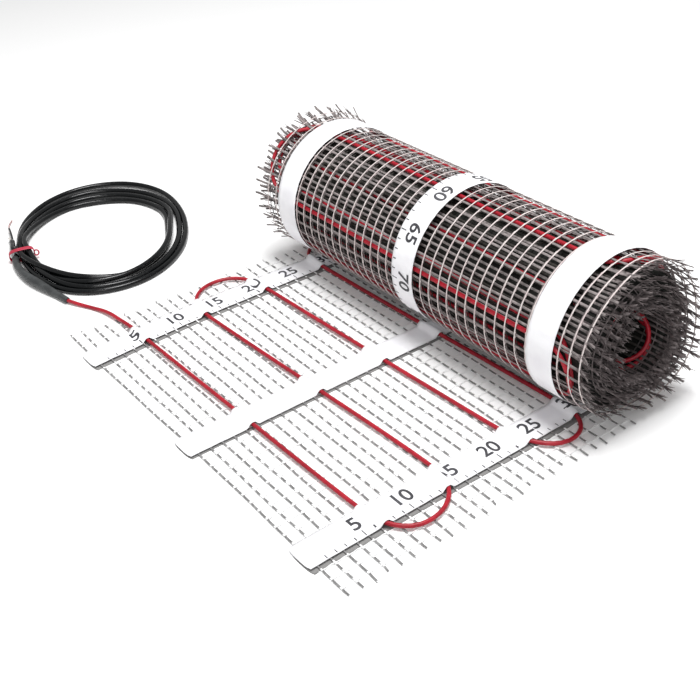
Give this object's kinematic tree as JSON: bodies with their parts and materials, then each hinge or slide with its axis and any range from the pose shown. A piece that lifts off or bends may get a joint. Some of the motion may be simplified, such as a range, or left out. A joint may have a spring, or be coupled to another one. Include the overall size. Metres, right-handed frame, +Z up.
{
  "type": "underfloor heating mat",
  "caption": "Open glass-fibre net carrying a serpentine heating cable under white tapes, part flat and part rolled up, with a spliced cold lead in a tied coil.",
  "frame": {"origin": "on the floor, at the middle of the mat's and roll's box, without the cold lead", "axes": "+X across the mat along the roll's axis, away from the cold lead; +Y along the mat from its free edge to the roll; +Z up"},
  "size_m": [0.8272, 0.4202, 0.1572],
  "materials": {
    "net": "grey glass-fibre threads with a dull sheen",
    "rolled_net": "many layers of grey glass-fibre net, matte",
    "tape": "white woven tape, matte",
    "heating_cable": "crimson cable sheath, satin",
    "splice_sleeve": "dark grey heat-shrink, satin",
    "cold_lead": "black cable sheath, satin gloss",
    "core_dark": "dark core insulation",
    "core_light": "light core insulation",
    "conductor": "bare tinned copper strand",
    "tie": "red plastic tie"
  },
  "bodies": {
    "root": {"net_left_fringe": "net", "net_left_field": "net", "net_right_field": "net", "net_right_fringe": "net", "mat_roll": "rolled_net", "lower_tape_left": "tape", "lower_tape_middle": "tape", "lower_tape_right": "tape", "upper_tape_left": "tape", "upper_tape_middle": "tape", "upper_tape_right": "tape", "heating_cable": "heating_cable", "cable_lead_in": "heating_cable", "splice_sleeve": "splice_sleeve", "cold_lead_coil": "cold_lead", "cold_lead_tail": "cold_lead", "core_dark": "core_dark", "core_light": "core_light", "core_conductor": "conductor", "coil_tie": "tie"}
  },
  "joints": []
}
